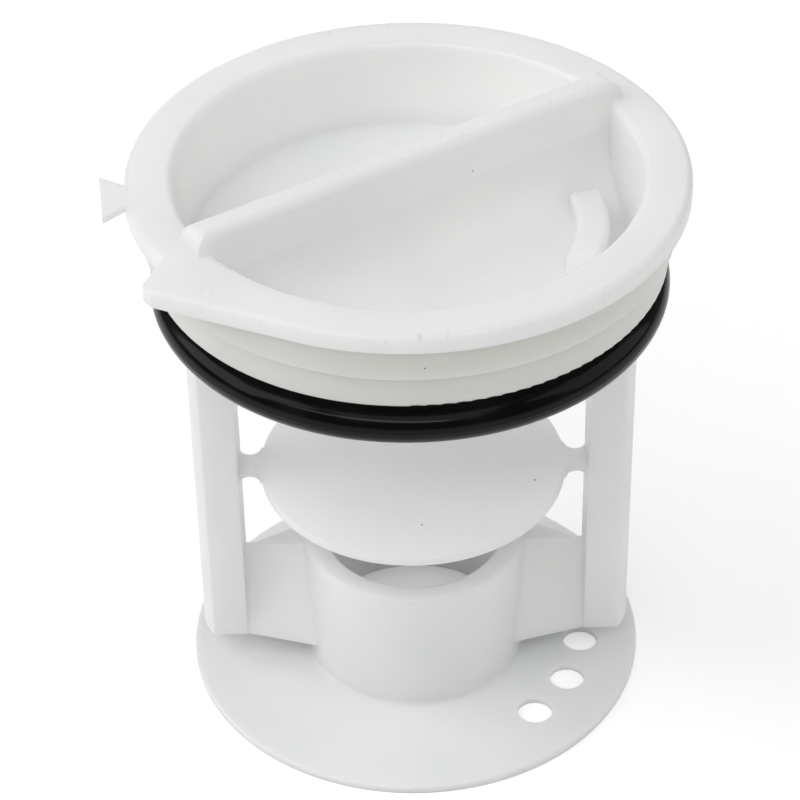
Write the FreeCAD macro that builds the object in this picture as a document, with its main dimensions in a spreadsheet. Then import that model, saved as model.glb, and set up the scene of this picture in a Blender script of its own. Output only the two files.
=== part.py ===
"""Washer pump filter: a one-piece moulded filter body and the rubber sealing ring round its cap.

Millimetres. Z is the axis, zero is the underside of the bottom plate, the two legs stand along X.
"""
import FreeCAD, Part
import os
import Sketcher
from FreeCAD import Placement, Rotation, Vector

doc = FreeCAD.newDocument("pump_filter")

# Driving dimensions
SIZES = [
    ("plate_radius", 28.9, "bottom plate, outside radius"),
    ("plate_thickness", 0.9, "bottom plate"),
    ("plate_edge_round", 0.25, "rounding of the plate's upper rim"),
    ("bore_radius", 11.2, "clear radius of the suction tube"),
    ("tube_wall", 2.9, "suction tube wall"),
    ("tube_top", 18.5, "height of the tube's lip"),
    ("lip_outer_round", 0.9, "rounding of the lip's outer edge"),
    ("lip_inner_round", 0.4, "rounding of the lip's inner edge"),
    ("bell_mouth", 2.4, "flare of the bore at the underside"),
    ("foot_round", 0.6, "fillet where the tube stands on the plate"),
    ("hole_radius", 2.25, "drain holes in the plate"),
    ("hole_circle", 21.6, "radius of the circle that the drain holes lie on"),
    ("hole_first_angle", 313.8, "direction of the first drain hole"),
    ("hole_span", 39.7, "angle from the first drain hole to the last"),
    ("hole_count", 3, "drain holes"),
    ("leg_bottom", 4.2, "height of the legs' and wings' underside"),
    ("leg_inner", 21.8, "distance from the axis to the legs' inner face"),
    ("leg_corner", 26.1, "distance from the axis to the legs' outer corners"),
    ("leg_outer", 27.5, "distance from the axis to the crown of the legs"),
    ("leg_half_width", 3.9, "half the width of a leg"),
    ("leg_round", 0.4, "rounding of the legs' long edges"),
    ("wing_ridge", 16.4, "height of a wing where it meets its leg"),
    ("wing_start", 20.2, "distance from the axis to where a wing begins to spread"),
    ("wing_top", 18.35, "height of a wing's inner end in the tube wall"),
    ("wing_tip_half", 0.2, "half the width of a wing's top at its leg"),
    ("wing_tip_foot", 3.5, "half the width of a wing's underside at its leg"),
    ("wing_root_half", 2.6, "half the width of a wing's top in the tube wall"),
    ("wing_root_foot", 6.6, "half the width of a wing's underside in the tube wall"),
    ("wing_root_depth", 2.0, "depth of a wing's inner end in the tube wall"),
    ("wing_round", 0.6, "fillet between a wing's sides and the tube"),
    ("disc_radius", 19.1, "baffle disc"),
    ("disc_bottom", 28.7, "height of the baffle disc's underside"),
    ("disc_thickness", 1.1, "baffle disc"),
    ("disc_edge_round", 0.3, "rounding of the disc's edges"),
    ("bridge_half", 1.55, "half the width of a bridge from the disc to a leg"),
    ("bridge_round", 1.35, "radius of the arch on each side of a bridge"),
    ("flange_radius", 33.0, "cap flange"),
    ("flange_top", 73.7, "height of the flange's top face"),
    ("flange_thickness", 2.2, "cap flange"),
    ("flange_round", 0.9, "rounding of the flange's edges"),
    ("dish_radius", 27.5, "mouth of the finger recess"),
    ("dish_draft", 1.1, "narrowing of the recess from mouth to floor"),
    ("dish_depth", 10.6, "depth of the finger recess"),
    ("dish_round", 1.0, "fillet between the recess's wall and floor"),
    ("floor_thickness", 2.0, "floor of the recess"),
    ("neck_radius", 31.4, "stepped neck under the flange"),
    ("neck_bottom", 66.5, "height of the neck's lower step"),
    ("band_radius", 30.6, "band over the seal groove"),
    ("groove_top", 62.3, "upper wall of the seal groove"),
    ("groove_bottom", 56.3, "lower wall of the seal groove"),
    ("groove_floor", 26.4, "radius of the seal groove's floor"),
    ("lip_radius", 27.9, "lip under the seal groove"),
    ("skirt_bottom", 55.0, "height of the cap's lower edge"),
    ("skirt_wall", 2.2, "wall of the cap behind the groove"),
    ("step_round", 0.35, "rounding of the neck's and band's edges"),
    ("grip_angle", 32.6, "direction of the grip web"),
    ("grip_top", 76.0, "height of the grip web"),
    ("grip_half", 1.9, "half the width of the grip's top"),
    ("grip_waist", 2.9, "half the width of the grip above its hollows"),
    ("grip_hollow", 8.0, "radius of the finger hollow along each side of the grip"),
    ("grip_overlap", 1.9, "how far the grip's ends run on to the flange"),
    ("grip_root", 0.5, "depth of the grip's foot in the floor, and of its web in the foot"),
    ("grip_end_round", 2.1, "rounding of the grip's top ends"),
    ("grip_edge_round", 1.1, "rounding of the grip's long edges"),
    ("rib_inner", 19.7, "inside radius of the curved rib in the recess"),
    ("rib_width", 3.9, "width of the curved rib"),
    ("rib_height", 3.6, "height of the curved rib over the floor"),
    ("rib_angle", 355.0, "direction of the middle of the curved rib"),
    ("rib_sweep", 36.0, "angle that the curved rib covers"),
    ("rib_round", 0.8, "rounding of the curved rib's top"),
    ("pointer_length", 4.1, "how far the pointer's tip stands out of the flange"),
    ("pointer_angle", 218.4, "direction of the pointer's tip"),
    ("pointer_tip_half", 0.8, "half the width of the pointer's tip"),
    ("pointer_back", 3.2, "half width of the pointer's steep side at the flange"),
    ("tag_angle", 186.6, "direction of the moulding tag"),
    ("tag_length", 2.7, "how far the moulding tag stands out"),
    ("tag_neck_half", 2.2, "half the width of the tag at the flange"),
    ("tag_end_half", 4.2, "half the width of the tag's outer end"),
    ("tag_thickness", 0.8, "moulding tag"),
    ("tag_drop", 1.5, "depth of the tag's underside below the flange's top"),
    ("ring_section", 4.5, "thickness of the sealing ring"),
    ("ring_clearance", 0.05, "room between the sealing ring and its groove"),
]

sheet = doc.addObject("Spreadsheet::Sheet", "sizes")
for row, (alias, number, note) in enumerate(SIZES, start=1):
    sheet.set("A%d" % row, note)
    sheet.set("B%d" % row, str(number))
    sheet.setAlias("B%d" % row, alias)
doc.recompute()


class Size:
    """A number together with the sheet expression that gives it."""

    def __init__(self, number, text):
        self.number = float(number)
        self.text = text

    def __add__(self, other):
        other = as_size(other)
        return Size(self.number + other.number, "(%s + %s)" % (self.text, other.text))

    def __sub__(self, other):
        other = as_size(other)
        return Size(self.number - other.number, "(%s - %s)" % (self.text, other.text))

    def __mul__(self, other):
        other = as_size(other)
        return Size(self.number * other.number, "(%s * %s)" % (self.text, other.text))

    def __truediv__(self, other):
        other = as_size(other)
        return Size(self.number / other.number, "(%s / %s)" % (self.text, other.text))

    def __neg__(self):
        return Size(-self.number, "(0 - %s)" % self.text)

    def root(self):
        return Size(self.number ** 0.5, "sqrt(%s)" % self.text)


def as_size(thing):
    return thing if isinstance(thing, Size) else Size(thing, repr(float(thing)))


S = {alias: Size(number, "sizes." + alias) for alias, number, note in SIZES}

# Sizes that follow from others
tube_radius = S["bore_radius"] + S["tube_wall"]
dish_floor = S["flange_top"] - S["dish_depth"]
dish_foot = S["dish_radius"] - S["dish_draft"]
flange_under = S["flange_top"] - S["flange_thickness"]
floor_under = dish_floor - S["floor_thickness"]
skirt_inner = S["groove_floor"] - S["skirt_wall"]
grip_foot = S["grip_waist"] + S["grip_hollow"]
ring_half = S["ring_section"] / 2
ring_radius = S["groove_floor"] + ring_half + S["ring_clearance"]
ring_height = S["groove_bottom"] + ring_half + S["ring_clearance"]


def origin_part(body, role):
    return [f for f in body.Origin.OriginFeatures if f.Role == role][0]


def new_sketch(body, name, role, lift=0.0, turn=0.0, turn_axis=(0, 0, 1)):
    """A sketch on one of the body's own planes, moved along the plane's normal and turned about an axis of it."""
    lift, turn = as_size(lift), as_size(turn)
    sketch = body.newObject("Sketcher::SketchObject", name)
    sketch.AttachmentSupport = (origin_part(body, role), [""])
    sketch.MapMode = "FlatFace"
    sketch.AttachmentOffset = Placement(Vector(0, 0, lift.number), Rotation(Vector(*turn_axis), turn.number))
    axis = "vector(%d; %d; %d)" % turn_axis
    sketch.setExpression("AttachmentOffset", "placement(vector(0; 0; %s); rotation(%s; %s))" % (lift.text, axis, turn.text))
    return sketch


def pin_point(sketch, geometry, end, x, y):
    """Ties a point of the sketch to its two coordinates."""
    for kind, size, axis in (("DistanceX", x, -2), ("DistanceY", y, -1)):
        if size is None:
            continue
        if abs(size.number) < 1e-9:
            sketch.addConstraint(Sketcher.Constraint("PointOnObject", geometry, end, axis))
        else:
            index = sketch.addConstraint(Sketcher.Constraint(kind, -1, 1, geometry, end, size.number))
            sketch.setExpression("Constraints[%d]" % index, size.text)


def draw(sketch, corners):
    """A closed outline through the corners (x, y). A corner (x, y, cx, cy, turn) starts an arc about (cx, cy)
    to the next corner, counter-clockwise where turn is 1 and clockwise where it is -1."""
    corners = [tuple(as_size(v) for v in corner[:4]) + tuple(corner[4:]) for corner in corners]
    ends = []
    for here, after in zip(corners, corners[1:] + corners[:1]):
        start = Vector(here[0].number, here[1].number, 0)
        stop = Vector(after[0].number, after[1].number, 0)
        if len(here) == 2:
            index = sketch.addGeometry(Part.LineSegment(start, stop), False)
            ends.append((index, 1, 2))
        else:
            centre = Vector(here[2].number, here[3].number, 0)
            first, last = (start, stop) if here[4] > 0 else (stop, start)
            circle = Part.Circle(centre, Vector(0, 0, 1), (start - centre).Length)
            arc = Part.ArcOfCircle(circle, circle.parameter(first), circle.parameter(last))
            index = sketch.addGeometry(arc, False)
            ends.append((index, 1, 2) if here[4] > 0 else (index, 2, 1))
    for (index, begin, finish), (following, start_end, _) in zip(ends, ends[1:] + ends[:1]):
        sketch.addConstraint(Sketcher.Constraint("Coincident", index, finish, following, start_end))
    for (index, begin, finish), corner in zip(ends, corners):
        pin_point(sketch, index, begin, corner[0], corner[1])
        if len(corner) > 2:
            arc = sketch.Geometry[index]
            across = abs(arc.EndPoint.x - arc.StartPoint.x) > abs(arc.EndPoint.y - arc.StartPoint.y)
            pin_point(sketch, index, 3, None if across else corner[2], corner[3] if across else None)
    return sketch


def draw_circle(sketch, x, radius):
    x, radius = as_size(x), as_size(radius)
    index = sketch.addGeometry(Part.Circle(Vector(x.number, 0, 0), Vector(0, 0, 1), radius.number), False)
    pin_point(sketch, index, 3, x, as_size(0))
    name = sketch.addConstraint(Sketcher.Constraint("Radius", index, radius.number))
    sketch.setExpression("Constraints[%d]" % name, radius.text)
    return sketch


def revolve(body, name, sketch, kind="PartDesign::Revolution", sweep=None):
    feature = body.newObject(kind, name)
    feature.Profile = sketch
    feature.ReferenceAxis = (sketch, ["V_Axis"])
    feature.Angle = 360 if sweep is None else sweep.number
    if sweep is not None:
        feature.setExpression("Angle", sweep.text)
        feature.Midplane = True
    return feature


def pad(body, name, sketch, length, both_ways=False):
    feature = body.newObject("PartDesign::Pad", name)
    feature.Profile = sketch
    feature.Length = length.number
    feature.setExpression("Length", length.text)
    if both_ways:
        feature.SideType = "Symmetric"
    return feature


def turned_copies(body, name, feature, count=None, span=None):
    """Copies of a feature about the axis: two opposite ones, or a row of them over a span."""
    pattern = body.newObject("PartDesign::PolarPattern", name)
    pattern.Originals = [feature]
    pattern.Axis = (origin_part(body, "Z_Axis"), [""])
    pattern.Angle = 360 if span is None else span.number
    pattern.Occurrences = 2 if count is None else int(count.number)
    if span is not None:
        pattern.setExpression("Angle", span.text)
        pattern.setExpression("Occurrences", count.text)
    body.Tip = pattern
    doc.recompute()
    return pattern


def ring_edges(feature, *wanted):
    """Names of the feature's full circles about the axis that have the wanted radius and height."""
    names = []
    for number, edge in enumerate(feature.Shape.Edges, start=1):
        if not isinstance(edge.Curve, Part.Circle):
            continue
        centre = edge.Curve.Center
        for radius, height in wanted:
            if abs(edge.Curve.Radius - radius.number) < 1e-3 and abs(centre.z - height.number) < 1e-3:
                if Vector(centre.x, centre.y, 0).Length < 1e-3:
                    names.append("Edge%d" % number)
    return names


def edges_where(feature, test):
    """Names of the feature's edges whose two ends satisfy a test."""
    names = []
    for number, edge in enumerate(feature.Shape.Edges, start=1):
        if len(edge.Vertexes) == 2 and test(edge.Vertexes[0].Point, edge.Vertexes[1].Point):
            names.append("Edge%d" % number)
    return names


def round_edges(body, name, names, radius):
    base = body.Tip
    feature = body.newObject("PartDesign::Fillet", name)
    feature.Base = (base, names)
    feature.Radius = radius.number
    feature.setExpression("Radius", radius.text)
    body.Tip = feature
    doc.recompute()
    return feature


body = doc.addObject("PartDesign::Body", "filter_body")
body.Label = "filter_body"
zero = as_size(0)

# Bottom plate and suction tube, turned in one
lip_outer = tube_radius - S["lip_outer_round"]
lip_inner = S["bore_radius"] + S["lip_inner_round"]
lip_outer_foot = S["tube_top"] - S["lip_outer_round"]
lip_inner_foot = S["tube_top"] - S["lip_inner_round"]
base_sketch = new_sketch(body, "base_profile", "XZ_Plane")
draw(base_sketch, [
    (S["bore_radius"] + S["bell_mouth"], zero),
    (S["plate_radius"], zero),
    (S["plate_radius"], S["plate_thickness"]),
    (tube_radius, S["plate_thickness"]),
    (tube_radius, lip_outer_foot, lip_outer, lip_outer_foot, 1),
    (lip_outer, S["tube_top"]),
    (lip_inner, S["tube_top"], lip_inner, lip_inner_foot, 1),
    (S["bore_radius"], lip_inner_foot),
    (S["bore_radius"], S["bell_mouth"]),
])
base = revolve(body, "base", base_sketch)
doc.recompute()
round_edges(body, "tube_foot", ring_edges(base, (tube_radius, S["plate_thickness"])), S["foot_round"])
plate_rim = ring_edges(body.Tip, (S["plate_radius"], S["plate_thickness"]))
round_edges(body, "plate_rim", plate_rim, S["plate_edge_round"])

# Drain holes
hole_sketch = new_sketch(body, "hole_outline", "XY_Plane", turn=S["hole_first_angle"])
draw_circle(hole_sketch, S["hole_circle"], S["hole_radius"])
hole = body.newObject("PartDesign::Pocket", "drain_hole")
hole.Profile = hole_sketch
hole.Length = S["plate_thickness"].number
hole.setExpression("Length", S["plate_thickness"].text)
hole.Reversed = True
doc.recompute()
turned_copies(body, "drain_holes", hole, S["hole_count"], S["hole_span"])

# Wings: wedges that spread and rise from each leg to the tube, with sloping sides
wing_root = tube_radius - S["wing_root_depth"]
wing_tip = S["leg_inner"] + S["leg_round"] * 2
start_share = (wing_tip - S["wing_start"]) / (wing_tip - wing_root)
start_foot = S["wing_tip_foot"] + (S["wing_root_foot"] - S["wing_tip_foot"]) * start_share
wing_sections = []
for name, place, foot, half, top in (
    ("wing_root", wing_root, S["wing_root_foot"], S["wing_root_half"], S["wing_top"]),
    ("wing_spread", S["wing_start"], start_foot, S["wing_tip_half"], S["wing_ridge"]),
    ("wing_tip", wing_tip, S["wing_tip_foot"], S["wing_tip_half"], S["wing_ridge"]),
):
    section = new_sketch(body, name, "YZ_Plane", lift=place)
    draw(section, [(-foot, S["leg_bottom"]), (foot, S["leg_bottom"]), (half, top), (-half, top)])
    wing_sections.append(section)
wing = body.newObject("PartDesign::AdditiveLoft", "wing")
wing.Profile = wing_sections[0]
wing.Sections = wing_sections[1:]
wing.Ruled = True
doc.recompute()
wings = turned_copies(body, "wings", wing)


def on_tube(point):
    return abs(Vector(point.x, point.y, 0).Length - tube_radius.number) < 0.01


wing_roots = edges_where(wings, lambda a, b: on_tube(a) and on_tube(b) and abs(a.z - b.z) > 5)
round_edges(body, "wing_fillets", wing_roots, S["wing_round"])

# Legs from the wings up to the underside of the cap's floor
leg_sketch = new_sketch(body, "leg_section", "XY_Plane", lift=S["leg_bottom"])
crown_rise = S["leg_outer"] - S["leg_corner"]
crown_radius = (S["leg_half_width"] * S["leg_half_width"] + crown_rise * crown_rise) / (crown_rise * 2)
crown_centre = S["leg_outer"] - crown_radius
draw(leg_sketch, [
    (S["leg_inner"], -S["leg_half_width"]),
    (S["leg_corner"], -S["leg_half_width"], crown_centre, zero, 1),
    (S["leg_corner"], S["leg_half_width"]),
    (S["leg_inner"], S["leg_half_width"]),
])
leg = pad(body, "leg", leg_sketch, floor_under - S["leg_bottom"])
doc.recompute()
legs = turned_copies(body, "legs", leg)
long_edges = edges_where(legs, lambda a, b: abs(a.z - b.z) > 20 and abs(abs(a.x) - S["leg_corner"].number) < 0.01)
round_edges(body, "leg_edges", long_edges, S["leg_round"])

# Baffle disc over the tube, with a bridge to each leg between two arches
disc_sketch = new_sketch(body, "disc_outline", "XY_Plane", lift=S["disc_bottom"])
draw_circle(disc_sketch, 0, S["disc_radius"])
bridge_sketch = new_sketch(body, "bridge_outline", "XY_Plane", lift=S["disc_bottom"])
bridge_side = S["bridge_half"] + S["bridge_round"]
arch_middle = S["leg_inner"] - S["bridge_round"]
arch_end = arch_middle - S["bridge_round"]
bridge_root = arch_end - S["bridge_round"]
draw(bridge_sketch, [
    (wing_tip, bridge_side),
    (S["leg_inner"], bridge_side, arch_middle, bridge_side, -1),
    (arch_end, bridge_side),
    (bridge_root, bridge_side),
    (bridge_root, -bridge_side),
    (arch_end, -bridge_side, arch_middle, -bridge_side, -1),
    (S["leg_inner"], -bridge_side),
    (wing_tip, -bridge_side),
])
bridge = pad(body, "bridge", bridge_sketch, S["disc_thickness"])
doc.recompute()
turned_copies(body, "bridges", bridge)
disc = pad(body, "baffle_disc", disc_sketch, S["disc_thickness"])
doc.recompute()
disc_top = S["disc_bottom"] + S["disc_thickness"]
disc_rim = ring_edges(disc, (S["disc_radius"], S["disc_bottom"]), (S["disc_radius"], disc_top))
round_edges(body, "disc_rim", disc_rim, S["disc_edge_round"])

# Cap: stepped neck and hollow skirt, turned in one
cap_sketch = new_sketch(body, "cap_profile", "XZ_Plane")
draw(cap_sketch, [
    (zero, floor_under),
    (skirt_inner, floor_under),
    (skirt_inner, S["skirt_bottom"]),
    (S["lip_radius"], S["skirt_bottom"]),
    (S["lip_radius"], S["groove_top"]),
    (S["band_radius"], S["groove_top"]),
    (S["band_radius"], S["neck_bottom"]),
    (S["neck_radius"], S["neck_bottom"]),
    (S["neck_radius"], flange_under),
    (zero, flange_under),
])
cap = revolve(body, "cap", cap_sketch)
doc.recompute()
steps = ring_edges(cap, (S["neck_radius"], S["neck_bottom"]), (S["band_radius"], S["groove_top"]))
round_edges(body, "neck_steps", steps, S["step_round"])

# Flange with its pointer: one outline, steep behind the tip and sweeping back to the round in front of it
flange_sketch = new_sketch(body, "flange_outline", "XY_Plane", lift=flange_under, turn=S["pointer_angle"])
flange_square = S["flange_radius"] * S["flange_radius"]
pointer_reach = S["flange_radius"] + S["pointer_length"]
touch = flange_square / pointer_reach
touch_side = (flange_square - touch * touch).root()
back_root = (flange_square - S["pointer_back"] * S["pointer_back"]).root()
draw(flange_sketch, [
    (touch, touch_side, zero, zero, 1),
    (back_root, -S["pointer_back"]),
    (pointer_reach, -S["pointer_tip_half"]),
    (pointer_reach, S["pointer_tip_half"]),
])
flange = pad(body, "flange", flange_sketch, S["flange_thickness"])
doc.recompute()

# Finger recess
dish_sketch = new_sketch(body, "dish_profile", "XZ_Plane")
draw(dish_sketch, [
    (zero, dish_floor),
    (dish_foot, dish_floor),
    (S["dish_radius"], S["flange_top"]),
    (zero, S["flange_top"]),
])
revolve(body, "finger_recess", dish_sketch, kind="PartDesign::Groove")
doc.recompute()
dish_corner = ring_edges(body.Tip, (dish_foot, dish_floor))
round_edges(body, "dish_corner", dish_corner, S["dish_round"])
rim = ring_edges(body.Tip, (S["flange_radius"], S["flange_top"]), (S["dish_radius"], S["flange_top"]))
round_edges(body, "flange_rim", rim, S["flange_round"])

# Moulding tag left on the flange's edge
tag_sketch = new_sketch(body, "tag_outline", "XY_Plane", lift=S["flange_top"] - S["tag_drop"], turn=S["tag_angle"])
tag_end = S["flange_radius"] + S["tag_length"]
tag_start = S["flange_radius"] - S["flange_round"] * 2
draw(tag_sketch, [
    (tag_start, -S["tag_neck_half"]),
    (S["flange_radius"], -S["tag_neck_half"]),
    (tag_end, -S["tag_end_half"]),
    (tag_end, S["tag_end_half"]),
    (S["flange_radius"], S["tag_neck_half"]),
    (tag_start, S["tag_neck_half"]),
])
pad(body, "moulding_tag", tag_sketch, S["tag_thickness"])
doc.recompute()

# Curved rib standing in the recess
rib_sketch = new_sketch(body, "rib_section", "XZ_Plane", turn=S["rib_angle"], turn_axis=(0, 1, 0))
rib_outer = S["rib_inner"] + S["rib_width"]
rib_top = dish_floor + S["rib_height"]
draw(rib_sketch, [
    (S["rib_inner"], dish_floor - S["grip_root"]),
    (rib_outer, dish_floor - S["grip_root"]),
    (rib_outer, rib_top - S["rib_round"], rib_outer - S["rib_round"], rib_top - S["rib_round"], 1),
    (rib_outer - S["rib_round"], rib_top),
    (S["rib_inner"] + S["rib_round"], rib_top, S["rib_inner"] + S["rib_round"], rib_top - S["rib_round"], 1),
    (S["rib_inner"], rib_top - S["rib_round"]),
])
revolve(body, "rib", rib_sketch, sweep=S["rib_sweep"])
doc.recompute()

# Grip web across the recess: a foot that is hollowed along both sides, and the web on it
shoulder = dish_floor + S["grip_hollow"]
foot_sketch = new_sketch(body, "grip_foot_section", "YZ_Plane", turn=S["grip_angle"], turn_axis=(0, 1, 0))
draw(foot_sketch, [
    (-grip_foot, dish_floor - S["grip_root"]),
    (grip_foot, dish_floor - S["grip_root"]),
    (grip_foot, dish_floor, grip_foot, shoulder, -1),
    (S["grip_waist"], shoulder),
    (-S["grip_waist"], shoulder, -grip_foot, shoulder, -1),
    (-grip_foot, dish_floor),
])
foot_reach = S["dish_radius"] + S["grip_root"]
pad(body, "grip_foot", foot_sketch, foot_reach * 2, both_ways=True)
doc.recompute()
web_sketch = new_sketch(body, "grip_web_section", "YZ_Plane", turn=S["grip_angle"], turn_axis=(0, 1, 0))
web_root = S["grip_waist"] - S["grip_root"]
edge_middle = S["grip_half"] - S["grip_edge_round"]
edge_height = S["grip_top"] - S["grip_edge_round"]
draw(web_sketch, [
    (-web_root, shoulder - S["grip_root"]),
    (web_root, shoulder - S["grip_root"]),
    (S["grip_waist"], shoulder),
    (S["grip_half"], edge_height, edge_middle, edge_height, 1),
    (edge_middle, S["grip_top"]),
    (-edge_middle, S["grip_top"], -edge_middle, edge_height, 1),
    (-S["grip_half"], edge_height),
    (-S["grip_waist"], shoulder),
])
grip_reach = S["dish_radius"] + S["grip_overlap"]
pad(body, "grip_web", web_sketch, grip_reach * 2, both_ways=True)
doc.recompute()

# The grip's ends, rounded down to the flange
end_sketch = new_sketch(body, "grip_end_round", "XZ_Plane")
end_start = grip_reach - S["grip_end_round"]
end_height = S["grip_top"] - S["grip_end_round"]
clear_radius = S["flange_radius"] + S["tag_length"]
clear_height = S["grip_top"] + S["grip_end_round"]
draw(end_sketch, [
    (end_start, clear_height),
    (end_start, S["grip_top"], end_start, end_height, -1),
    (grip_reach, end_height),
    (clear_radius, end_height),
    (clear_radius, clear_height),
])
revolve(body, "grip_ends", end_sketch, kind="PartDesign::Groove")
doc.recompute()

# Seal groove, cut last so that the legs stop clear of the ring
groove_sketch = new_sketch(body, "groove_section", "XZ_Plane")
draw(groove_sketch, [
    (S["groove_floor"], S["groove_bottom"]),
    (S["flange_radius"], S["groove_bottom"]),
    (S["flange_radius"], S["groove_top"]),
    (S["groove_floor"], S["groove_top"]),
])
revolve(body, "seal_groove", groove_sketch, kind="PartDesign::Groove")
doc.recompute()

# Sealing ring
ring = doc.addObject("Part::Torus", "seal_ring")
ring.Label = "seal_ring"
ring.setExpression("Radius1", ring_radius.text)
ring.setExpression("Radius2", ring_half.text)
ring.setExpression("Placement.Base.z", ring_height.text)
doc.recompute()

# Every object has to be sound before the nodes are written
for thing in doc.Objects:
    if "Invalid" in thing.State or "Error" in thing.State:
        raise RuntimeError("%s is not sound: %s" % (thing.Name, thing.State))
os.makedirs("parts", exist_ok=True)
for node in (body, ring):
    shape = node.Shape
    if shape.isNull() or not shape.isValid():
        raise RuntimeError("%s has no valid shape" % node.Label)
    print(node.Label, "solids", len(shape.Solids), "volume", round(shape.Volume, 1), shape.BoundBox)
    shape.exportStep("parts/%s.step" % node.Label)
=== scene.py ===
"""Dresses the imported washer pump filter.

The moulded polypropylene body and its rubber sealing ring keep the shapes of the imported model.
They get their materials here, and stand on a white table with lamps and a camera.
"""

import math

import bpy
import numpy as np
from mathutils import Matrix, Vector


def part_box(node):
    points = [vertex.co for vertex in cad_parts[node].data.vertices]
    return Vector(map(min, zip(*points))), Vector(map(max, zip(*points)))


bl_info = {
    "name": "Pump Filter Dresser",
    "version": (1, 0, 0),
    "blender": (4, 5, 0),
    "location": "View3D > Sidebar > Pump Filter",
    "description": "Gives the washer pump filter its plastic and rubber, a table, lamps and a camera",
    "category": "Object",
}

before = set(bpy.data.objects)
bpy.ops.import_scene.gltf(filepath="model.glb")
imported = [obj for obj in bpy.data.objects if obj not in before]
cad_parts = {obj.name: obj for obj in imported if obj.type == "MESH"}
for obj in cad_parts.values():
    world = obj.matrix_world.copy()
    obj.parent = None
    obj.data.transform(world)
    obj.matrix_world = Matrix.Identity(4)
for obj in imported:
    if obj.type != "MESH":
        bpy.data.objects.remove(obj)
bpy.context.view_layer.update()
BODY_LOW, BODY_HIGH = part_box("filter_body")
RING_LOW, RING_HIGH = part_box("seal_ring")

MM = 0.001
WHITE = (1.0, 1.0, 1.0, 1.0)
# Most values of a noise lie between these
NOISE_SPREAD = (0.3, 0.7)

# The flange's upper rim: the grip stands 2.3 mm over it
RIM_RADIUS = BODY_HIGH.y
RIM_HEIGHT = BODY_HIGH.z - 2.3 * MM
# Wear on the grip begins at this height and is strongest at the top
CREST_FOOT = RIM_HEIGHT + 1.2 * MM
# Painted shade under the flange begins at the flange's underside and is full a little lower
SHADE_BELOW = RIM_HEIGHT - 2 * MM
SHADE_FULL = RIM_HEIGHT - 3.5 * MM
# Under the flange, only the neck and the band have faces outside this radius
NECK_SKIN = 29.3 * MM
# Light stays shallow up to just over the bottom plate, and is deep from the legs' feet upwards
SHALLOW_BELOW = BODY_LOW.z + 1.2 * MM
DEEP_ABOVE = BODY_LOW.z + 4 * MM

# The moulded plastic: stretch of its drawn lines along or round the axis
ALONG_AXIS = (1.0, 1.0, 0.03)
ROUND_AXIS = (0.04, 0.04, 1.6)
# Upward share of the normal from which a face is flat, and below which it is a wall
FLAT_SLOPE = 0.5
WALL_SLOPE = 0.2
# Wear on the grip's crest, against 1 on the rim
CREST_WEAR = 0.4
# Scratches are thin, turned a little, and drawn out along Y
SCRATCH_WIDTH = 0.3 * MM
SCRATCH_TURN = 0.2
SCRATCH_STRETCH = (1.0, 0.1, 0.3)
# Width of the worn patches
PATCH_SIZE = 9 * MM
# Values of the noise at which scratches and worn patches begin and are full
SCRATCH_EDGE = (0.68, 0.78)
PATCH_EDGE = (0.52, 0.7)
# Share of a speck's radius inside which it is full
SPECK_CORE = 0.6
# What hot steel takes from the roughness, and what slow filling, drawing and rubbing add to it
HOT_GLOSS = 0.05
COLD_DULL = 0.06
DRAWN_DULL = 0.12
WORN_DULL = 0.15
# Height of the plastic's grain, and of the drawn lines as a multiple of it
PLASTIC_RELIEF = 0.006 * MM
DRAWN_RELIEF = 3.0
POLYPROPYLENE_IOR = 1.49
# Red goes a little deeper into the plastic than blue
DEPTH_BY_COLOUR = (1.0, 0.95, 0.9)

# The rubber: where its pale film begins and is full, its change of roughness, and its relief
FILM_EDGE = (0.5, 0.75)
CLEAN_GLOSS = 0.03
BLOOM_DULL = 0.06
RUBBER_RELIEF = 0.0015 * MM
PARTING_RELIEF = 16.0
RUBBER_IOR = 1.52

# The stage: the paper lies just under the plate, and glows a little where it is seen
TABLE_GAP = 0.05 * MM
TABLE_GLOW = 0.28
SENSOR_WIDTH = 36.0
# Ways to the lamps in degrees: azimuth from the front (0) to the right (90), and elevation
LAMP_WAYS = {
    "left": (270, 40),
    "right": (90, 32),
    "front": (340, 45),
    "top": (0, 60),
    "back": (180, 20),
}


def linear(code):
    """An sRGB hex colour as linear red, green, blue and alpha."""
    parts = np.array([int(code[i:i + 2], 16) for i in (1, 3, 5)]) / 255
    parts = np.where(parts <= 0.04045, parts / 12.92, ((parts + 0.055) / 1.055) ** 2.4)
    return (*parts.tolist(), 1.0)


def add_node(tree, kind, settings=None, **inputs):
    """Adds a shader node of a kind, with its settings and inputs.

    An input goes by its name, with _ for a space, or by its number, as in i0. Its value is a number,
    vector or colour, or the output of another node, which is then linked.
    """
    node = tree.nodes.new(f"ShaderNode{kind}")
    for name, value in (settings or {}).items():
        setattr(node, name, value)
    for name, value in inputs.items():
        numbered = name[0] == "i" and name[1:].isdigit()
        socket = node.inputs[int(name[1:]) if numbered else name.replace("_", " ")]
        if isinstance(value, bpy.types.NodeSocket):
            tree.links.new(value, socket)
        else:
            socket.default_value = value
    return node


def new_material(name):
    """An empty node material and its tree."""
    material = bpy.data.materials.new(name)
    material.use_nodes = True
    material.node_tree.nodes.clear()
    return material, material.node_tree


def dress(piece, material):
    """Puts one material on every face of a piece."""
    piece.data.materials.clear()
    piece.data.materials.append(material)


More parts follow.
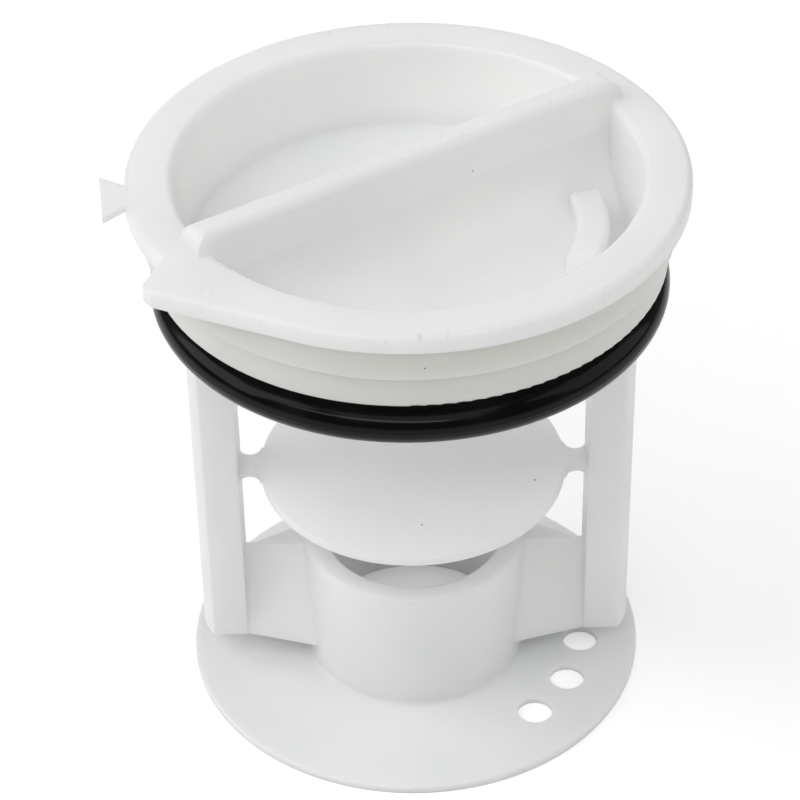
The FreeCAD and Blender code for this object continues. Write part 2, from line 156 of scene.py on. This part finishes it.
class MouldingSettings(bpy.types.PropertyGroup):
    """The white plastic of the filter body."""

    colour: bpy.props.FloatVectorProperty(
        name="Colour", description="Colour of the natural white polypropylene",
        default=linear("#fbfaf7"), min=0.0, max=1.0, size=4, subtype="COLOR")
    cloud_colour: bpy.props.FloatVectorProperty(
        name="Cloud colour", description="Colour of the clouds in the plastic",
        default=linear("#eceef0"), min=0.0, max=1.0, size=4, subtype="COLOR")
    # Painted shade: a greyer, warmer colour for the neck and band under the flange
    painted_shade_colour: bpy.props.FloatVectorProperty(
        name="Painted shade colour", description="Colour of the painted shade under the flange",
        default=linear("#e2e2dd"), min=0.0, max=1.0, size=4, subtype="COLOR")
    scuff_colour: bpy.props.FloatVectorProperty(
        name="Scuff colour", description="Colour of the scratches on handled edges",
        default=linear("#e2e2de"), min=0.0, max=1.0, size=4, subtype="COLOR")
    speck_colour: bpy.props.FloatVectorProperty(
        name="Speck colour", description="Colour of burnt specks in the plastic",
        default=linear("#847d72"), min=0.0, max=1.0, size=4, subtype="COLOR")
    roughness: bpy.props.FloatProperty(
        name="Roughness", description="Satin of the moulded skin",
        default=0.34, min=0.0, max=1.0, subtype="FACTOR")
    translucency: bpy.props.FloatProperty(
        name="Translucency", description="Share of the light that goes into the plastic",
        default=0.7, min=0.0, max=1.0, subtype="FACTOR")
    depth: bpy.props.FloatProperty(
        name="Depth", description="How far light travels in the plastic",
        default=3.5 * MM, min=0.0, unit="LENGTH")
    plate_depth: bpy.props.FloatProperty(
        name="Plate depth", description="How far light travels in the thin bottom plate",
        default=1.2 * MM, min=0.0, unit="LENGTH")
    cloud_size: bpy.props.FloatProperty(
        name="Cloud size", description="Width of the clouds in the plastic",
        default=13 * MM, min=MM, unit="LENGTH")
    drag_width: bpy.props.FloatProperty(
        name="Drag width", description="Width of the lines that the mould drew along upright walls",
        default=1.1 * MM, min=0.1 * MM, unit="LENGTH")
    grain_size: bpy.props.FloatProperty(
        name="Grain size", description="Width of the grain of the moulded skin",
        default=0.45 * MM, min=0.1 * MM, unit="LENGTH")
    speck_spacing: bpy.props.FloatProperty(
        name="Speck spacing", description="Distance between specks inside the plastic",
        default=6.5 * MM, min=MM, unit="LENGTH")
    speck_size: bpy.props.FloatProperty(
        name="Speck size", description="Radius of a speck",
        default=0.17 * MM, min=0.01 * MM, unit="LENGTH")
    rim_width: bpy.props.FloatProperty(
        name="Rim width", description="How far the rubbing reaches in from the flange's rim",
        default=2.6 * MM, min=0.1 * MM, unit="LENGTH")


class SealSettings(bpy.types.PropertyGroup):
    """The rubber of the sealing ring."""

    colour: bpy.props.FloatVectorProperty(
        name="Colour", description="Colour of the black rubber",
        default=linear("#040403"), min=0.0, max=1.0, size=4, subtype="COLOR")
    bloom_colour: bpy.props.FloatVectorProperty(
        name="Bloom colour", description="Colour of the pale film that rubber gets with age",
        default=linear("#121110"), min=0.0, max=1.0, size=4, subtype="COLOR")
    roughness: bpy.props.FloatProperty(
        name="Roughness", description="Sheen of the rubber's skin",
        default=0.12, min=0.0, max=1.0, subtype="FACTOR")
    gloss: bpy.props.FloatProperty(
        name="Gloss", description="Strength of the reflections",
        default=0.14, min=0.0, max=1.0, subtype="FACTOR")
    bloom_size: bpy.props.FloatProperty(
        name="Bloom size", description="Width of the patches of pale film",
        default=5 * MM, min=MM, unit="LENGTH")
    grain_size: bpy.props.FloatProperty(
        name="Grain size", description="Width of the grain of the rubber's skin",
        default=0.4 * MM, min=0.1 * MM, unit="LENGTH")
    parting_width: bpy.props.FloatProperty(
        name="Parting width", description="Half the width of the parting line round the ring",
        default=0.16 * MM, min=0.01 * MM, unit="LENGTH")


class StageSettings(bpy.types.PropertyGroup):
    """Table, lamps and camera."""

    table_colour: bpy.props.FloatVectorProperty(
        name="Table colour", description="Colour of the table",
        default=linear("#fbfbfb"), min=0.0, max=1.0, size=4, subtype="COLOR")
    table_size: bpy.props.FloatProperty(
        name="Table size", description="Side of the square table",
        default=3.0, min=0.1, unit="LENGTH")
    sky: bpy.props.FloatProperty(
        name="Sky", description="Even light from all round",
        default=0.25, min=0.0)
    lamp_distance: bpy.props.FloatProperty(
        name="Lamp distance", description="From the lamps to the middle of the filter",
        default=0.7, min=0.1, unit="LENGTH")
    lamp_size: bpy.props.FloatProperty(
        name="Lamp size", description="Side of the square lamps",
        default=0.6, min=0.01, unit="LENGTH")
    strip_length: bpy.props.FloatProperty(
        name="Strip length", description="Length of the strip lamp in front",
        default=0.7, min=0.01, unit="LENGTH")
    strip_height: bpy.props.FloatProperty(
        name="Strip height", description="Height of the strip lamp in front",
        default=0.06, min=0.01, unit="LENGTH")
    left_power: bpy.props.FloatProperty(
        name="Left lamp", description="Power of the main lamp at the left",
        default=2.15, min=0.0, unit="POWER")
    right_power: bpy.props.FloatProperty(
        name="Right lamp", description="Power of the fill lamp at the right",
        default=0.97, min=0.0, unit="POWER")
    front_power: bpy.props.FloatProperty(
        name="Front lamp", description="Power of the strip lamp beside the camera",
        default=0.62, min=0.0, unit="POWER")
    top_power: bpy.props.FloatProperty(
        name="Top lamp", description="Power of the high lamp over the front",
        default=1.05, min=0.0, unit="POWER")
    back_power: bpy.props.FloatProperty(
        name="Back lamp", description="Power of the low lamp behind",
        default=0.82, min=0.0, unit="POWER")
    lens: bpy.props.FloatProperty(
        name="Lens", description="Focal length in millimetres",
        default=130.2, min=1.0)
    elevation: bpy.props.FloatProperty(
        name="Elevation", description="Height of the camera's view over the table",
        default=math.radians(38.23), subtype="ANGLE")
    roll: bpy.props.FloatProperty(
        name="Roll", description="Turn of the camera about its view",
        default=math.radians(-1.1155), subtype="ANGLE")
    distance: bpy.props.FloatProperty(
        name="Distance", description="From the camera to the point it looks at",
        default=356.9 * MM, unit="LENGTH")
    aim: bpy.props.FloatVectorProperty(
        name="Aim", description="Point that the camera looks at",
        default=(-1.465 * MM, 0.0, 39.27 * MM), subtype="TRANSLATION")


def drawn_lines(tree, place, height, settings):
    """Lines that the steel drew on upright walls, from 0 to 1.

    Noise is stretched along the axis on legs and tube, and round it on the turned neck. It fades out
    from walls to flat faces.
    """
    along = add_node(tree, "VectorMath", {"operation": "MULTIPLY"}, i0=place, i1=ALONG_AXIS)
    around = add_node(tree, "VectorMath", {"operation": "MULTIPLY"}, i0=place, i1=ROUND_AXIS)
    on_neck = add_node(tree, "Math", {"operation": "GREATER_THAN"}, i0=height, i1=RING_HIGH.z)
    stretched = add_node(
        tree, "Mix", {"data_type": "VECTOR"},
        i0=on_neck.outputs[0], i4=along.outputs[0], i5=around.outputs[0])
    lines = add_node(
        tree, "TexNoise", Vector=stretched.outputs[1], Scale=1 / settings.drag_width, Detail=1.0)
    normal = add_node(tree, "NewGeometry").outputs["True Normal"]
    upward = add_node(tree, "SeparateXYZ", Vector=normal).outputs["Z"]
    slope = add_node(tree, "Math", {"operation": "ABSOLUTE"}, i0=upward)
    wall = add_node(
        tree, "MapRange", Value=slope.outputs[0], From_Min=FLAT_SLOPE, From_Max=WALL_SLOPE)
    on_wall = add_node(
        tree, "Math", {"operation": "MULTIPLY"}, i0=lines.outputs["Fac"], i1=wall.outputs[0])
    return on_wall.outputs[0]


def worn_patches(tree, place, radius, height, settings):
    """Patches where fingers and tools rub, from 0 to 1.

    They follow the distance from the flange's upper rim, as radius and height, and the height on the
    grip's crest.
    """
    section = add_node(tree, "CombineXYZ", X=radius, Y=height)
    from_rim = add_node(
        tree, "VectorMath", {"operation": "DISTANCE"},
        i0=section.outputs[0], i1=(RIM_RADIUS, RIM_HEIGHT, 0.0))
    rim = add_node(
        tree, "MapRange", Value=from_rim.outputs["Value"],
        From_Min=settings.rim_width, From_Max=0.0)
    crest = add_node(
        tree, "MapRange", Value=height,
        From_Min=CREST_FOOT, From_Max=BODY_HIGH.z, To_Max=CREST_WEAR)
    handled = add_node(
        tree, "Math", {"operation": "MAXIMUM"}, i0=rim.outputs[0], i1=crest.outputs[0])
    patch = add_node(tree, "TexNoise", Vector=place, Scale=1 / PATCH_SIZE, Detail=1.0)
    inside = add_node(
        tree, "MapRange", Value=patch.outputs["Fac"],
        From_Min=PATCH_EDGE[0], From_Max=PATCH_EDGE[1])
    worn = add_node(
        tree, "Math", {"operation": "MULTIPLY"}, i0=handled.outputs[0], i1=inside.outputs[0])
    return worn.outputs[0]


def scratches(tree, place, worn):
    """Thin lines a few millimetres long in the worn patches, from 0 to 1.

    They are the peaks of stretched noise.
    """
    across = add_node(
        tree, "Mapping", Vector=place, Rotation=(0.0, 0.0, SCRATCH_TURN), Scale=SCRATCH_STRETCH)
    noise = add_node(
        tree, "TexNoise", Vector=across.outputs[0], Scale=1 / SCRATCH_WIDTH, Detail=0.0)
    line = add_node(
        tree, "MapRange", Value=noise.outputs["Fac"],
        From_Min=SCRATCH_EDGE[0], From_Max=SCRATCH_EDGE[1])
    scratch = add_node(tree, "Math", {"operation": "MULTIPLY"}, i0=worn, i1=line.outputs[0])
    return scratch.outputs[0]


def specks(tree, place, settings):
    """Burnt specks, from 0 to 1: the nearest surroundings of points strewn through the plastic."""
    points = add_node(tree, "TexVoronoi", Vector=place, Scale=1 / settings.speck_spacing)
    edge = settings.speck_size / settings.speck_spacing
    speck = add_node(
        tree, "MapRange", Value=points.outputs["Distance"],
        From_Min=edge, From_Max=SPECK_CORE * edge)
    return speck.outputs[0]


def painted_flange_shade(tree, radius, height):
    """Painted shade under the flange, on the neck and the band, from 0 to 1.

    A greyer, warmer colour there stands for the shade that the flange casts.
    """
    under = add_node(
        tree, "MapRange", Value=height, From_Min=SHADE_BELOW, From_Max=SHADE_FULL)
    outside = add_node(tree, "Math", {"operation": "GREATER_THAN"}, i0=radius, i1=NECK_SKIN)
    shade_share = add_node(
        tree, "Math", {"operation": "MULTIPLY"}, i0=under.outputs[0], i1=outside.outputs[0])
    return shade_share.outputs[0]


def moulded_polypropylene(settings):
    """Natural polypropylene from a polished mould.

    It is milky, so light bleeds into thin walls and edges. It has a satin skin, faint clouds, drawn
    lines on upright walls, a few burnt specks, rubbed edges on flange and grip, and painted shade on
    the neck and band under the flange.
    """
    material, tree = new_material("moulded_polypropylene")
    place = add_node(tree, "TexCoord").outputs["Object"]
    height = add_node(tree, "SeparateXYZ", Vector=place).outputs["Z"]
    flat = add_node(tree, "VectorMath", {"operation": "MULTIPLY"}, i0=place, i1=(1.0, 1.0, 0.0))
    length = add_node(tree, "VectorMath", {"operation": "LENGTH"}, i0=flat.outputs[0])
    radius = length.outputs["Value"]
    clouds = add_node(tree, "TexNoise", Vector=place, Scale=1 / settings.cloud_size, Detail=1.0)
    cloud = clouds.outputs["Fac"]
    drawn = drawn_lines(tree, place, height, settings)
    worn = worn_patches(tree, place, radius, height, settings)

    # Each layer covers the colour under it by its share
    layers = (
        (cloud, settings.cloud_colour),
        # Painted shade: the neck and band under the flange get a greyer, warmer colour
        (painted_flange_shade(tree, radius, height), settings.painted_shade_colour),
        (scratches(tree, place, worn), settings.scuff_colour),
        (specks(tree, place, settings), settings.speck_colour),
    )
    colour = settings.colour
    for share, cover in layers:
        mix = add_node(tree, "Mix", {"data_type": "RGBA"}, i0=share, i6=colour, i7=cover)
        colour = mix.outputs[2]

    # The skin is glossier where the melt lay hot against the steel, duller where drawn or rubbed
    skin = add_node(
        tree, "MapRange", Value=cloud, From_Min=NOISE_SPREAD[0], From_Max=NOISE_SPREAD[1],
        To_Min=settings.roughness - HOT_GLOSS, To_Max=settings.roughness + COLD_DULL)
    dulled = add_node(
        tree, "Math", {"operation": "MULTIPLY_ADD"}, i0=drawn, i1=DRAWN_DULL, i2=skin.outputs[0])
    roughness = add_node(
        tree, "Math", {"operation": "MULTIPLY_ADD"}, i0=worn, i1=WORN_DULL, i2=dulled.outputs[0])

    # The real grain is under 0.1 mm and is drawn coarser so that it shows
    grain = add_node(tree, "TexNoise", Vector=place, Scale=1 / settings.grain_size, Detail=0.0)
    relief = add_node(
        tree, "Math", {"operation": "MULTIPLY_ADD"},
        i0=drawn, i1=DRAWN_RELIEF, i2=grain.outputs["Fac"])
    bump = add_node(
        tree, "Bump", Strength=1.0, Distance=PLASTIC_RELIEF, Height=relief.outputs[0])

    # The bottom plate is so thin that deep light would be lost into the table
    depth = add_node(
        tree, "MapRange", Value=height, From_Min=SHALLOW_BELOW, From_Max=DEEP_ABOVE,
        To_Min=settings.plate_depth, To_Max=settings.depth)
    shader = add_node(
        tree, "BsdfPrincipled", Base_Color=colour, Roughness=roughness.outputs[0],
        IOR=POLYPROPYLENE_IOR, Normal=bump.outputs[0], Subsurface_Weight=settings.translucency,
        Subsurface_Radius=DEPTH_BY_COLOUR, Subsurface_Scale=depth.outputs[0])
    add_node(tree, "OutputMaterial", Surface=shader.outputs["BSDF"])
    return material


def moulded_rubber(settings):
    """Nitrile rubber from a two-part mould.

    It is near black and quiet, with a thin parting line round the outside, a fine grain, and patches
    of pale film that dull its sheen.
    """
    material, tree = new_material("moulded_rubber")
    place = add_node(tree, "TexCoord").outputs["Object"]
    height = add_node(tree, "SeparateXYZ", Vector=place).outputs["Z"]
    patches = add_node(tree, "TexNoise", Vector=place, Scale=1 / settings.bloom_size, Detail=4.0)
    bloom = patches.outputs["Fac"]
    film = add_node(
        tree, "MapRange", Value=bloom, From_Min=FILM_EDGE[0], From_Max=FILM_EDGE[1])
    colour = add_node(
        tree, "Mix", {"data_type": "RGBA"},
        i0=film.outputs[0], i6=settings.colour, i7=settings.bloom_colour)
    roughness = add_node(
        tree, "MapRange", Value=bloom, From_Min=NOISE_SPREAD[0], From_Max=NOISE_SPREAD[1],
        To_Min=settings.roughness - CLEAN_GLOSS, To_Max=settings.roughness + BLOOM_DULL)

    # The mould's halves met at the ring's middle height
    middle = (RING_LOW.z + RING_HIGH.z) / 2
    over = add_node(tree, "Math", {"operation": "SUBTRACT"}, i0=height, i1=middle)
    away = add_node(tree, "Math", {"operation": "ABSOLUTE"}, i0=over.outputs[0])
    parting = add_node(
        tree, "MapRange", Value=away.outputs[0], From_Min=settings.parting_width, From_Max=0.0)

    # The real grain is under 0.1 mm and is drawn coarser so that it shows
    grain = add_node(tree, "TexNoise", Vector=place, Scale=1 / settings.grain_size, Detail=2.0)
    relief = add_node(
        tree, "Math", {"operation": "MULTIPLY_ADD"},
        i0=parting.outputs[0], i1=PARTING_RELIEF, i2=grain.outputs["Fac"])
    bump = add_node(tree, "Bump", Strength=1.0, Distance=RUBBER_RELIEF, Height=relief.outputs[0])
    shader = add_node(
        tree, "BsdfPrincipled", Base_Color=colour.outputs[2], Roughness=roughness.outputs[0],
        IOR=RUBBER_IOR, Specular_IOR_Level=settings.gloss, Normal=bump.outputs[0])
    add_node(tree, "OutputMaterial", Surface=shader.outputs["BSDF"])
    return material


def white_table(settings):
    """Matt white paper.

    Rays from the camera, from gloss and through clear matter get a glow that makes the lit paper
    white and keeps the shadow. The light that the paper throws on the filter has no glow in it.
    """
    material, tree = new_material("white_paper")
    paper = add_node(tree, "BsdfDiffuse", Color=settings.table_colour)
    glow = add_node(tree, "Emission", Color=WHITE, Strength=TABLE_GLOW)
    both = add_node(tree, "AddShader", i0=paper.outputs["BSDF"], i1=glow.outputs["Emission"])
    path = add_node(tree, "LightPath")
    seen = path.outputs["Is Camera Ray"]
    for ray in ("Is Glossy Ray", "Is Transmission Ray"):
        either = add_node(tree, "Math", {"operation": "MAXIMUM"}, i0=seen, i1=path.outputs[ray])
        seen = either.outputs[0]
    mix = add_node(
        tree, "MixShader", Fac=seen, i1=paper.outputs["BSDF"], i2=both.outputs["Shader"])
    add_node(tree, "OutputMaterial", Surface=mix.outputs["Shader"])
    return material


def add_lamp(name, aim, azimuth, elevation, distance, size, power):
    """An area lamp of a width and height that faces a point from a way given in degrees."""
    turn = math.radians(azimuth)
    lift = math.radians(elevation)
    way = Vector((
        math.sin(turn) * math.cos(lift),
        -math.cos(turn) * math.cos(lift),
        math.sin(lift),
    ))
    light = bpy.data.lights.new(name, "AREA")
    light.shape = "RECTANGLE"
    light.size, light.size_y = size
    light.energy = power
    lamp = bpy.data.objects.new(name, light)
    lamp.location = aim + way * distance
    lamp.rotation_mode = "QUATERNION"
    lamp.rotation_quaternion = way.to_track_quat("Z", "Y")
    bpy.context.scene.collection.objects.link(lamp)


class FILTER_OT_moulding(bpy.types.Operator):
    """Gives the filter body its white plastic"""

    bl_idname = "filter.moulding"
    bl_label = "Moulded Body"

    def execute(self, context):
        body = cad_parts["filter_body"]
        dress(body, moulded_polypropylene(context.scene.filter_moulding))
        return {"FINISHED"}


class FILTER_OT_seal(bpy.types.Operator):
    """Gives the sealing ring its rubber"""

    bl_idname = "filter.seal"
    bl_label = "Sealing Ring"

    def execute(self, context):
        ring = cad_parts["seal_ring"]
        dress(ring, moulded_rubber(context.scene.filter_seal))
        return {"FINISHED"}


class FILTER_OT_stage(bpy.types.Operator):
    """Sets the table, the lamps, the sky and the camera"""

    bl_idname = "filter.stage"
    bl_label = "Stage"

    def execute(self, context):
        settings = context.scene.filter_stage
        scene = context.scene
        scene.view_settings.view_transform = "Standard"
        self.lay_table(scene, settings)
        self.light(scene, settings)
        self.aim_camera(scene, settings)
        return {"FINISHED"}

    def lay_table(self, scene, settings):
        """A square sheet under the middle of the filter."""
        half = settings.table_size / 2
        corners = np.array([(-1, -1), (1, -1), (1, 1), (-1, 1)]) * half
        height = BODY_LOW.z - TABLE_GAP
        mesh = bpy.data.meshes.new("table")
        mesh.from_pydata([(x, y, height) for x, y in corners], [], [(0, 1, 2, 3)])
        table = bpy.data.objects.new("table", mesh)
        scene.collection.objects.link(table)
        dress(table, white_table(settings))

    def light(self, scene, settings):
        """An even sky that the camera sees as white, and five lamps round the filter."""
        world = bpy.data.worlds.new("soft_sky")
        scene.world = world
        world.use_nodes = True
        tree = world.node_tree
        tree.nodes.clear()
        path = add_node(tree, "LightPath")
        even = add_node(tree, "Background", Color=WHITE, Strength=settings.sky)
        white = add_node(tree, "Background", Color=WHITE, Strength=1.0)
        mix = add_node(
            tree, "MixShader", Fac=path.outputs["Is Camera Ray"],
            i1=even.outputs[0], i2=white.outputs[0])
        add_node(tree, "OutputWorld", Surface=mix.outputs[0])
        middle = (BODY_LOW + BODY_HIGH) / 2
        square = (settings.lamp_size, settings.lamp_size)
        strip = (settings.strip_length, settings.strip_height)
        for side, (azimuth, elevation) in LAMP_WAYS.items():
            size = strip if side == "front" else square
            power = getattr(settings, f"{side}_power")
            add_lamp(
                f"{side}_lamp", middle, azimuth, elevation, settings.lamp_distance, size, power)

    def aim_camera(self, scene, settings):
        """A camera in front of the filter, lifted, then rolled about its view."""
        tilt = settings.elevation
        back = Vector((0.0, -math.cos(tilt), math.sin(tilt)))
        up = Vector((0.0, math.sin(tilt), math.cos(tilt)))
        right = Vector((1.0, 0.0, 0.0))
        cosine = math.cos(settings.roll)
        sine = math.sin(settings.roll)
        rolled_right = cosine * right + sine * up
        rolled_up = cosine * up - sine * right
        axes = Matrix((rolled_right, rolled_up, back)).transposed()
        place = Vector(settings.aim) + back * settings.distance
        data = bpy.data.cameras.new("camera")
        data.sensor_width = SENSOR_WIDTH
        data.lens = settings.lens
        camera = bpy.data.objects.new("camera", data)
        camera.matrix_world = Matrix.Translation(place) @ axes.to_4x4()
        scene.collection.objects.link(camera)
        scene.camera = camera


class FILTER_PT_dresser(bpy.types.Panel):
    """Buttons and settings of the pump filter"""

    bl_idname = "FILTER_PT_dresser"
    bl_label = "Pump Filter"
    bl_space_type = "VIEW_3D"
    bl_region_type = "UI"
    bl_category = "Pump Filter"

    def draw(self, context):
        for operator, settings in STEPS:
            column = self.layout.column(align=True)
            column.operator(operator.bl_idname)
            group = getattr(context.scene, settings)
            for name in group.__annotations__:
                column.prop(group, name)


GROUPS = {
    "filter_moulding": MouldingSettings,
    "filter_seal": SealSettings,
    "filter_stage": StageSettings,
}
STEPS = (
    (FILTER_OT_moulding, "filter_moulding"),
    (FILTER_OT_seal, "filter_seal"),
    (FILTER_OT_stage, "filter_stage"),
)
CLASSES = (*GROUPS.values(), *(operator for operator, settings in STEPS), FILTER_PT_dresser)


def register():
    for kind in CLASSES:
        bpy.utils.register_class(kind)
    for name, group in GROUPS.items():
        setattr(bpy.types.Scene, name, bpy.props.PointerProperty(type=group))


def unregister():
    for name in GROUPS:
        delattr(bpy.types.Scene, name)
    for kind in reversed(CLASSES):
        bpy.utils.unregister_class(kind)


def main():
    register()
    bpy.ops.filter.moulding()
    bpy.ops.filter.seal()
    bpy.ops.filter.stage()


if __name__ == "__main__":
    main()
